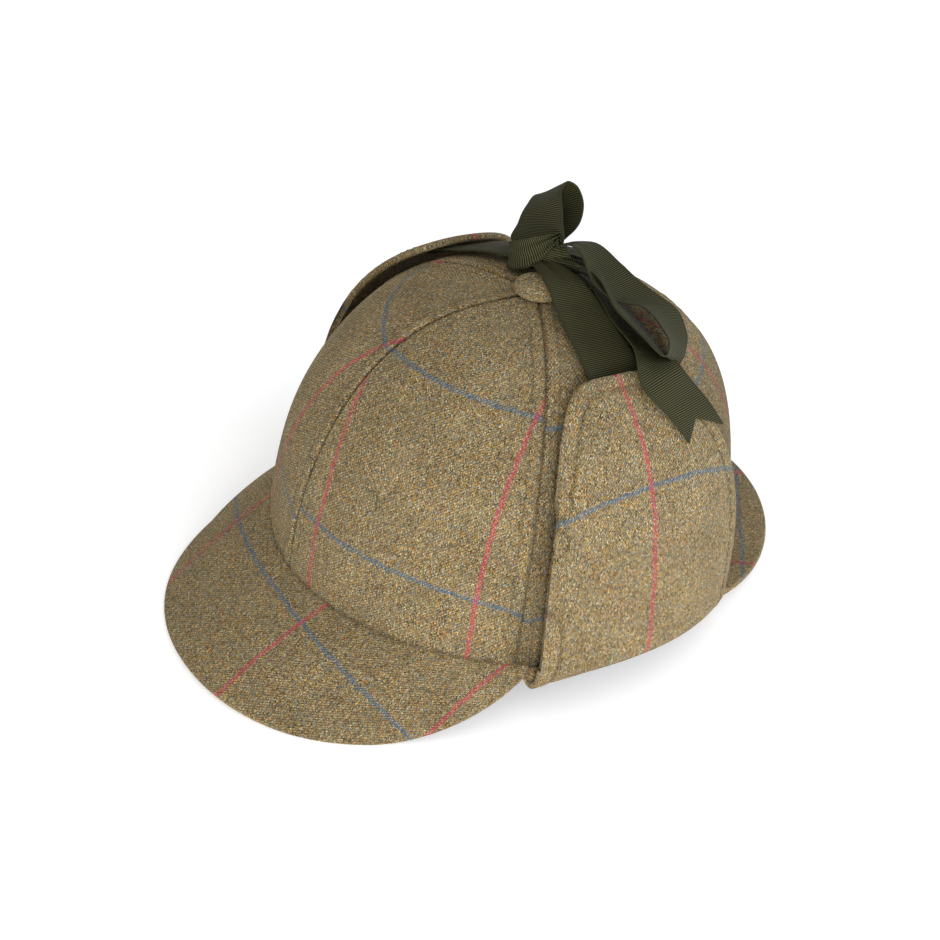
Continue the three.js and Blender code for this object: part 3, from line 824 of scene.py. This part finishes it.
def peak_relief(u, v, far, reach, seed):
    """How far a peak's cloth stands up; far is the distance from the crown."""
    depth, length = PEAK_DENT
    relief = depth * ripple(u, v, length, seed) * smooth(far / 8) * smooth((reach - far) / 8)
    relief -= PEAK_GROOVE * hill(far, 1.0)
    depth, length = PEAK_PUCKER
    return relief + depth * np.sin(u * 2 * math.pi / length) * hill(far - 4, 3)


def on_ground(piece):
    """Presses what would lie below the ground flat on it."""
    points = np.empty(len(piece.data.vertices) * 3, dtype=np.float32)
    piece.data.vertices.foreach_get("co", points)
    points[2::3] = np.maximum(points[2::3], 0.0)
    piece.data.vertices.foreach_set("co", points)
    piece.data.update()


def flap_top(turn):
    """The rise of a flap's top edge, with its two rounded corners."""
    front = turn < FLAP_TOP_TURN
    end = np.where(front, FLAP_FRONT, FLAP_BACK)
    share = np.clip((turn - FLAP_TOP_TURN) / (end - FLAP_TOP_TURN), 0, 1)
    corner = np.where(front, *FLAP_CORNERS)
    return mix(FLAP_LOW_RISE, FLAP_TOP_RISE, (1 - share ** corner) ** (1 / corner))


def flap_grids(turn, share, rows):
    """A flap's outer and inner surface: the fold below the crown's base, then up beside the crown."""
    upright = mix(FLAP_FOLD_FRONT, FLAP_FOLD_BACK, np.sqrt(share))
    droop = FLAP_DROOP * (1 - share) ** 6
    half = FLAP_THICK / 2
    sink = FLAP_FOLD_DEPTH - half - FLAP_FOLD_LIFT * np.sin(share * math.pi)
    reach = FLAP_STANDOFF + half - GAP
    wall, out = crown_at(turn, 0), base_normal(turn)
    low, high = rise_at_height(turn, upright), flap_top(turn)
    for grow in (half, -half):
        grid = []
        for bend in np.linspace(0, math.pi / 2, FLAP_BENDS):
            line = wall + out * (GAP + (reach + grow) * math.sin(bend))
            line[:, 2] = upright - (upright + sink + grow) * math.cos(bend) - droop * math.sin(2 * bend)
            grid.append(line)
        for row in range(1, rows + 1):
            rise = mix(low, high, (row / rows) ** 1.2)
            grid.append(off_crown(turn, rise, FLAP_STANDOFF + half + grow))
        yield swept(np.array(grid))


def flap(name, side):
    """Builds a flap on the left for side 1 or on the right for -1, and returns its row of stitches."""
    columns, rows = FLAP_GRID
    share = clustered(columns, 1.0)
    turn = mix(FLAP_FRONT, FLAP_BACK, share)
    outer, inner = flap_grids(turn, share, rows)
    across, up = arc_lengths(outer, 1), arc_lengths(outer)
    u, v = flap_cloth(outer, turn)
    edge = edge_distance(outer)
    normal = grid_normals(outer)
    relief = -FLAP_GROOVE * hill(edge - FLAP_INSET, GROOVE_WIDTH)
    relief += FLAP_EDGE_LIFT * smooth((FLAP_INSET - edge) / 2) * smooth(edge / 1.5)
    depth, length = FLAP_DENT
    relief += depth * ripple(u, v, length, 40 + side) * smooth(edge / 14) * smooth((v + 4) / 14)
    outer = outer + normal * relief[..., None]
    flip = np.array([side, 1, 1])
    cloth = laid(u * side, v, LAYS[name])
    # Painted shade along the flap's stitched groove
    marks = {"painted_shade": FLAP_DARK[0] * hill(edge - FLAP_INSET, FLAP_DARK[1])}
    piece = shell(name, outer * flip, inner * flip, cloth, TWEED, marks, rim=5)
    settle(piece, name)
    cut(outer, "folded")
    places, normals = flap_stitches(turn, outer, normal, across, up)
    return places * flip, normals * flip


def edge_distance(outer):
    """How far each point of a flap is from its front, top or back edge."""
    fold = FLAP_BENDS // 2
    line = np.concatenate([outer[fold:, 0], outer[-1], outer[fold:, -1][::-1]])
    edge = np.full(outer.shape[:2], 1e3)
    for point in line[::2]:
        edge = np.minimum(edge, np.linalg.norm(outer - point, axis=-1))
    return edge


def flap_stitches(turn, outer, normal, across, up):
    """Topstitching round a flap: up its front, along its top and down its back."""
    rows = range(FLAP_BENDS - 3, len(outer) - 7)
    middle = (turn > FLAP_FRONT + FLAP_CORNER_TURN) & (turn < FLAP_BACK - FLAP_CORNER_TURN)
    runs = [(across[row], outer[row], normal[row]) for row in rows]
    for column in np.flatnonzero(middle):
        runs.append(((up[-1, column] - up[:, column])[::-1], outer[::-1, column], normal[::-1, column]))
    for row in reversed(rows):
        runs.append(((across[row, -1] - across[row])[::-1], outer[row, ::-1], normal[row, ::-1]))
    return inset_row(FLAP_INSET, runs)


def swept(grid):
    """A flap's grid with its front edge moved round the crown, and the fold's inner end the other way."""
    shift = np.interp(grid[:, 0, 2], FLAP_SWEEP_HEIGHTS, FLAP_SWEEP)
    bends = np.sin(np.linspace(0, math.pi / 2, FLAP_BENDS))
    shift[:FLAP_BENDS] = mix(FLAP_FOLD_SWEEP, FLAP_SWEEP[0], bends)
    fade = np.maximum(1 - arc_lengths(grid, 1) / FLAP_SWEEP_REACH, 0) ** 2
    return spun(grid, shift[:, None] * fade / np.hypot(grid[..., 0], grid[..., 1]))


def flap_cloth(outer, turn):
    """Cloth coordinates of a flap: round the crown at a level, and up the flap's middle to that level."""
    middle = int(np.argmin(np.abs(turn - FLAP_TOP_TURN)))
    u = np.hypot(outer[..., 0], outer[..., 1]) * (turn - turn[middle])[None]
    spine = outer[:, middle]
    lengths = arc_lengths(spine)
    start = np.interp(FLAP_CLOTH_START, spine[:, 2], lengths)
    v = np.interp(outer[..., 2], spine[:, 2], lengths) - start
    low = spine[0, 2] - outer[..., 2]
    v = np.where(low > 0, v - low, v)
    return u, np.abs(v - FLAP_CLOTH_LOW) + FLAP_CLOTH_LOW


def button():
    around, rows = BUTTON_GRID
    turn = np.linspace(0, 2 * math.pi, around, endpoint=False)
    circle = np.stack([np.cos(turn), np.sin(turn)], -1)
    centre = np.array([0, CROWN_LEAN])
    depth, gathers = BUTTON_GATHERS
    points, cloth = [], []
    for share in np.arange(rows) / (rows - 1):
        angle = share * math.pi / 2
        radius = max(BUTTON_RADIUS * math.cos(angle) ** 0.7, BUTTON_TIP)
        gather = 1 + depth * np.sin(turn * gathers) * (1 - share) ** 3
        height = CROWN_HEIGHT + GAP + BUTTON_HEIGHT * (0.2 + 0.8 * math.sin(angle))
        plan = circle * (radius * gather)[:, None] + centre
        points.append(np.column_stack([plan, np.full(around, height)]))
        cloth.append(circle * BUTTON_RADIUS * (1.25 - share) + BUTTON_CLOTH)
    foot = mix(centre, points[0][:, :2], BUTTON_FOOT)
    foot = np.column_stack([foot, np.full(around, CROWN_HEIGHT + GAP)])
    points, cloth = np.concatenate([foot] + points), np.concatenate(cloth[:1] + cloth)
    piece = add_mesh("top_button_cloth", points, ring_faces(around, rows + 1), cloth, TWEED)
    settle(piece, "top_button")


def chain(places, count):
    """Points along a smooth line through places, as a centripetal Catmull-Rom spline."""
    knots = np.concatenate([[2 * places[0] - places[1]], places, [2 * places[-1] - places[-2]]])
    out = []
    for share in np.linspace(0, 1, count):
        along = share * (len(places) - 1)
        at = min(int(along), len(places) - 2)
        t = along - at
        p0, p1, p2, p3 = knots[at:at + 4]
        d0, d1, d2 = np.maximum(np.linalg.norm(np.diff(knots[at:at + 4], axis=0), axis=-1) ** 0.5, 1e-4)
        m1 = ((p1 - p0) / d0 - (p2 - p0) / (d0 + d1) + (p2 - p1) / d1) * d1
        m2 = ((p2 - p1) / d1 - (p3 - p1) / (d1 + d2) + (p3 - p2) / d2) * d1
        out.append(p1 + m1 * t + (3 * (p2 - p1) - 2 * m1 - m2) * t ** 2 + (2 * (p1 - p2) + m1 + m2) * t ** 3)
    return np.array(out)


def across_vector(heading, tilt):
    turn, tilt = math.radians(heading), math.radians(tilt)
    return np.array([math.cos(tilt) * math.cos(turn), math.cos(tilt) * math.sin(turn), math.sin(tilt)])


def evenly(values, count):
    """Rows of values, blended smoothly over count steps."""
    share = np.linspace(0, len(values) - 1, count)
    at = np.minimum(share.astype(int), len(values) - 2)
    part = smooth(share - at) * 0.5 + (share - at) * 0.5
    return mix(values[at], values[at + 1], part[:, None])


def ribbon(name, stations, held, cup, seed, notch=0.0, slack=0.35, node=None):
    """Grosgrain through stations of place, direction across and share of the full width."""
    places, vectors, shares = (np.array(column) for column in zip(*stations))
    count = 30 + int(np.linalg.norm(np.diff(places, axis=0), axis=-1).sum() * 1.6)
    line = chain(places, count)
    across = unit(evenly(vectors, count))
    full = evenly(shares[:, None], count)
    along = unit(np.gradient(line, axis=0))
    normal = unit(np.cross(along, across))
    lengths = arc_lengths(line)[:, None]
    lane = np.linspace(-1, 1, RIBBON_LANES)[None]
    fade = 3 * max(notch, 1)
    drawn = np.clip((lengths - lengths[-1] + fade) / fade, 0, 1) * (1 - np.abs(lane)) * notch
    relief = cup * (1 - lane ** 2) * full + (1 - full) ** 2 * 1.3 * np.sin(lane * math.pi * 2.2 + 0.6)
    relief = relief + slack * ripple(*np.broadcast_arrays(lane * 12, lengths), 26, seed)
    grid = line[:, None] + across[:, None] * (lane * full * RIBBON_WIDTH / 2)[..., None]
    grid = grid + normal[:, None] * relief[..., None] - along[:, None] * drawn[..., None]
    half = normal[:, None] * RIBBON_THICK / 2
    u = np.broadcast_to(lane * RIBBON_WIDTH / 2, relief.shape)
    cloth = np.stack([u, lengths - drawn], -1)
    piece = shell(name, grid + half, grid - half, cloth, GROSGRAIN, rim=2)
    settle(piece, node)
    cut(grid, held)


def knot_centre():
    return over_crown(*KNOT_PLACE) + [0, 0, KNOT_SIZE[2] / 2 + GAP]


def crown_stations(rows):
    """Stations over the crown; a lift of 1 clears the flap."""
    clear = FLAP_STANDOFF + FLAP_THICK + GAP + CLEARANCE
    stations = []
    for side, back, lift, heading, tilt, width in rows:
        turn, rise = crown_above(side, back)
        across = across_vector(heading, tilt or 0)
        if tilt is None:
            normal = crown_normal(turn, rise)
            across = unit(across - normal * (across @ normal))
        stations.append((off_crown(turn, rise, lift * clear), across, width))
    return stations


def loop_stations(rows, length):
    """Stations round the knot, in shares of the loop's length."""
    centre = knot_centre()
    return [(centre + np.array(row[:3]) * length, across_vector(row[3], row[4]), row[5]) for row in rows]


def tie_stations(side, rows):
    """Stations from inside a flap's top edge to the knot."""
    turn = FLAP_TOP_TURN
    sag = RIBBON_WIDTH ** 2 / 8 / (HALF_WIDTH * 0.7)
    hug = FLAP_STANDOFF - GAP - CLEARANCE - sag
    step = 0.02
    top, lower = crown_at(turn, FLAP_TOP_RISE), crown_at(turn, FLAP_TOP_RISE - step)
    arc = np.linalg.norm(top - lower) / step
    tuck = RIBBON_TUCK / arc
    flip = np.array([side, 1, 1])
    stations = []
    for rise in (FLAP_TOP_RISE - tuck, FLAP_TOP_RISE - tuck / 2, FLAP_TOP_RISE):
        across = unit(off_crown(turn + 0.1, rise, hug) - off_crown(turn - 0.1, rise, hug)) * flip
        stations.append((off_crown(turn, rise, hug) * flip, across, 1.0))
    edge = stations[-1][0]
    for way, lift, tilt, width in rows:
        plan = mix(edge, knot_centre(), way)
        foot = over_crown(*plan[:2]) + [0, 0, lift * (BUTTON_HEIGHT + 2 * GAP + CLEARANCE)]
        stations.append((foot, across_vector(90, tilt), width))
    return stations


# Columns: way from the flap's edge to the knot, lift in shares of what clears the button, tilt, width
LEFT_TIE = [
    (0.12, 0.42, 0, 1),
    (0.3, 0.35, 0, 0.95),
    (0.5, 0.6, 0, 0.85),
    (0.65, 1.02, 0, 0.7),
    (0.82, 1.08, 0, 0.55),
    (1.0, 0.95, 0, 0.4),
]
RIGHT_TIE = [
    (0.2, 0.42, 0, 0.95),
    (0.55, 0.55, 0, 0.7),
    (1.0, 0.85, 0, 0.4),
]

# Columns: to the left, back, up, heading across, tilt across, width
UPPER_LOOP = [
    (0.02, -0.12, 0.04, 235, 0, 0.3),
    (-0.11, 0.06, 0.20, 210, -12, 1),
    (-0.36, 0.26, 0.32, 197, -25, 1),
    (-0.64, 0.48, 0.50, 186, -38, 1),
    (-0.75, 0.66, 0.55, 184, -39, 1),
    (-0.70, 0.79, 0.47, 186, -39, 1),
    (-0.56, 0.80, 0.30, 188, -36, 1),
    (-0.43, 0.64, 0.17, 195, -25, 0.9),
    (-0.33, 0.42, 0.10, 200, -10, 0.65),
    (-0.10, 0.10, 0.05, 210, 0, 0.35),
]
SIDE_LOOP = [
    (0.04, 0.05, 0.055, 128, -20, 0.35),
    (0.10, 0.165, 0.112, 128, -20, 0.6),
    (0.162, 0.236, 0.108, 122, -15, 0.85),
    (0.404, 0.231, 0.057, 114, -4, 1),
    (0.549, 0.285, 0.003, 108, -6, 1),
    (0.70, 0.388, -0.027, 106, -20, 1),
    (0.88, 0.364, -0.056, 106, -30, 1),
    (1, 0.32, -0.1, 119, -32, 1),
    (1.071, 0.236, -0.132, 125, -34, 1),
    (1.028, 0.182, -0.098, 134, -29, 1),
    (0.935, 0.155, -0.045, 138, -22, 1),
    (0.635, 0.139, 0.008, 143, -17, 0.95),
    (0.311, 0.185, 0.06, 142, -15, 0.7),
    (0.12, 0.11, 0.045, 141, -12, 0.45),
    (0.05, 0.05, 0.03, 140, -10, 0.35),
]

# Columns: side, back, lift, heading across, tilt across (None where it lies flat on the hat), width
FRONT_TAIL = [
    (-0.13, 0.15, 0.5, 110, -10, 0.3),
    (-0.01, 0.28, 0.5, 125, -18, 0.6),
    (0.30, 0.262, 0.42, 125, -13, 0.9),
    (0.475, 0.25, 0.68, 118, -23, 1),
    (0.615, 0.22, 1.16, 111, None, 1),
    (0.69, 0.295, 1.06, 108, None, 1),
    (0.748, 0.37, 1.03, 106, None, 1),
]
BACK_TAIL = [
    (-0.20, 0.21, 0.4, 60, -4, 0.3),
    (-0.28, 0.35, 0.4, 45, -6, 0.7),
    (-0.37, 0.47, 0.35, 36, None, 0.9),
    (-0.46, 0.60, 0.28, 34, None, 1),
    (-0.53, 0.70, 0.25, 34, None, 1),
    (-0.58, 0.77, 0.25, 34, None, 1),
]

# Columns: to the right, up and out from the knot's middle as the camera sees it, in millimetres, the angle
# of the direction across, width
KNOT_BAND = [
    (-11.0, 1.5, -5.0, 80, 0.40),
    (-11.2, 1.0, 0.5, 84, 0.44),
    (-8.6, 0.4, 5.0, 92, 0.48),
    (-4.4, 1.0, 7.8, 102, 0.48),
    (0.4, 3.0, 8.6, 112, 0.40),
    (4.6, 5.4, 8.0, 118, 0.26),
    (8.4, 7.6, 6.0, 122, 0.12),
    (10.4, 8.6, 2.0, 122, 0.10),
]
KNOT_FOLD = [
    (8.8, 8.0, 3.0, -8, 0.10),
    (8.6, 6.6, 6.0, -8, 0.12),
    (8.6, 2.6, 7.4, -12, 0.38),
    (9.2, -1.6, 6.6, -15, 0.64),
    (10.0, -5.0, 4.4, -15, 0.78),
    (10.4, -6.4, 1.0, -15, 0.8),
]


def knot():
    """The knot: a rounded, creased core, with a band and a fold of ribbon over it."""
    around, rows = KNOT_GRID
    turn = np.linspace(0, 2 * math.pi, around, endpoint=False)[None]
    climb = np.linspace(-0.5, 0.5, rows)[:, None] * math.pi * 0.97
    size = np.array(KNOT_SIZE) / 2 * KNOT_CORE
    squeeze = 1 - 0.05 * (1 + np.cos(climb * 6 + turn)) * np.cos(climb)
    for depth, place, slant, width in KNOT_CREASES:
        squeeze = squeeze - depth * hill(turn - place - slant * np.sin(climb), width)
    x = size[0] * np.sin(climb) + 0 * turn
    y = size[1] * np.cos(climb) * np.cos(turn) * squeeze
    z = size[2] * np.cos(climb) * np.sin(turn) * squeeze
    points = spun(np.stack([x, y, z], -1), math.radians(KNOT_HEADING)) + knot_centre()
    cloth = np.stack([np.sin(climb) * 9 + 0 * turn, turn * 9 + 3 * np.sin(climb)], -1).reshape(-1, 2)
    faces = ring_faces(around, rows)
    piece = add_mesh("bow_knot_cloth", points.reshape(-1, 3), faces, cloth, GROSGRAIN)
    tidy_normals(piece)
    settle(piece, "bow_knot")
    knot_fold("bow_knot_band", KNOT_BAND, 9)
    knot_fold("bow_knot_fold", KNOT_FOLD, 10)


def knot_fold(name, rows, seed):
    """A turn of ribbon round the knot, set out on the axes of the camera's view."""
    right, up, back = view_axes()
    stations = []
    for at_right, at_up, out, lean, width in rows:
        place = knot_centre() + right * at_right + up * at_up + back * out
        angle = math.radians(lean)
        stations.append((place, right * math.cos(angle) + up * math.sin(angle), width))
    ribbon(name, stations, "folded", 0.5, seed, slack=0.1)


def bow():
    for name, stations, held, cup, seed, notch in (
        ("ribbon_left", tie_stations(1, LEFT_TIE), "stretched", 0.4, 3, 0.0),
        ("ribbon_right", tie_stations(-1, RIGHT_TIE), "stretched", 0.4, 4, 0.0),
        ("bow_loop_upper", loop_stations(UPPER_LOOP, UPPER_LENGTH), "folded", -0.6, 5, 0.0),
        ("bow_loop_side", loop_stations(SIDE_LOOP, SIDE_LENGTH), "folded", -0.6, 6, 0.0),
        ("ribbon_tail_front", crown_stations(FRONT_TAIL), "draped", 0.3, 7, TAIL_NOTCH),
        ("ribbon_tail_back", crown_stations(BACK_TAIL), "draped", 0.3, 8, TAIL_NOTCH),
    ):
        ribbon(name, stations, held, cup, seed, notch, node=name)
    knot()


def hat():
    crown()
    peak("front_peak", 31, *FRONT_PEAK)
    peak("back_peak", 32, *BACK_PEAK)
    stitches("flap_topstitching", [flap("left_ear_flap", 1), flap("right_ear_flap", -1)])
    button()
    bow()


def view_axes():
    """Right, up and backwards as the camera sees the hat, in the hat's own frame."""
    flat = math.cos(CAMERA_HEIGHT)
    right = np.array([math.cos(CAMERA_TURN), math.sin(CAMERA_TURN), 0])
    back = np.array([right[1] * flat, -right[0] * flat, math.sin(CAMERA_HEIGHT)])
    up = np.cross(back, right)
    c, s = math.cos(CAMERA_ROLL), math.sin(CAMERA_ROLL)
    return right * c + up * s, up * c - right * s, back


def stand(name, data, right, up, back, place):
    """Puts a camera or a lamp in the scene, facing away from back."""
    body = linked(name, data)
    columns = np.column_stack([right, up, back, place])
    body.matrix_world = Matrix(np.vstack([columns, [0, 0, 0, 1]]).tolist())
    return body


def camera():
    axes = view_axes()
    place = to_model(CAMERA_TARGET + axes[2] * CAMERA_DISTANCE)
    directions = [to_model(axis) * 1000 - HAT_PLACE for axis in axes]
    data = bpy.data.cameras.new("camera")
    data.sensor_width = SENSOR
    data.lens = CAMERA_FOCAL_PIXELS * SENSOR / IMAGE_PIXELS
    data.clip_start, data.clip_end = 0.05, 20
    bpy.context.scene.camera = stand("camera", data, *directions, place)


def area_light(name, place, target, size, power, shade):
    data = bpy.data.lights.new(name, "AREA")
    data.shape = "DISK"
    data.size, data.energy, data.color = size, power, shade
    forward = unit(np.subtract(target, place))
    right = unit(np.cross(forward, [0, 0, 1]))
    stand(name, data, right, np.cross(right, forward), -forward, place)


def floor_material():
    graph = Graph("floor")
    grain = graph.noise(graph.add("ShaderNodeTexCoord").outputs["Object"], 3.0, 2.0)
    base = graph.ramp(grain, [(0.0, (0.93, 0.93, 0.93, 1)), (1.0, (0.96, 0.96, 0.96, 1))])
    return graph.finish(base, {
        "Roughness": 0.9, "Specular IOR Level": 0.0,
        "Emission Color": (1, 1, 1, 1), "Emission Strength": FLOOR_GLOW,
    })


def studio():
    mesh = bpy.data.meshes.new("floor")
    corners = [(x * FLOOR_REACH, y * FLOOR_REACH, 0) for x, y in ((-1, -1), (1, -1), (1, 1), (-1, 1))]
    mesh.from_pydata(corners, [], [(0, 1, 2, 3)])
    mesh.materials.append(floor_material())
    linked("floor", mesh)
    world = bpy.data.worlds.new("studio")
    world.use_nodes = True
    background = world.node_tree.nodes["Background"]
    background.inputs["Color"].default_value = (1, 1, 1, 1)
    background.inputs["Strength"].default_value = WORLD_LIGHT
    bpy.context.scene.world = world
    for lamp in LAMPS:
        area_light(*lamp)


bpy.context.scene.view_settings.view_transform = "Standard"
camera()
studio()
hat()
